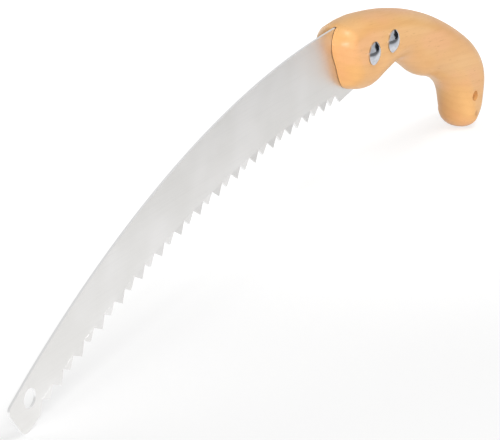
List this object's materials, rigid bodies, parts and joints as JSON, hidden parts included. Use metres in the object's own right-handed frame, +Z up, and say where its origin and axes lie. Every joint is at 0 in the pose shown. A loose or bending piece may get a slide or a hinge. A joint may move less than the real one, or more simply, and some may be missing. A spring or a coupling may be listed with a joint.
{
  "type": "pruning saw",
  "caption": "Curved pruning saw: a coarse-toothed steel blade with a tip hole, bolted in the kerf of a sculpted wooden pistol grip that has a hanging hole.",
  "frame": {"origin": "on the ground under the middle of the saw's bounding box, as it stands on its tip and its butt", "axes": "+X from the blade's tip to the butt, +Y through the blade's thickness to the nuts' side, +Z up, teeth down"},
  "size_m": [0.4632, 0.0288, 0.1006],
  "materials": {
    "blade_steel": "satin rolled steel",
    "handle_wood": "light varnished hardwood",
    "plated_steel": "bright zinc plate"
  },
  "bodies": {
    "root": {"blade": "blade_steel", "handle": "handle_wood", "front_bolt": "plated_steel", "front_nut": "plated_steel", "rear_bolt": "plated_steel", "rear_nut": "plated_steel"}
  },
  "joints": []
}
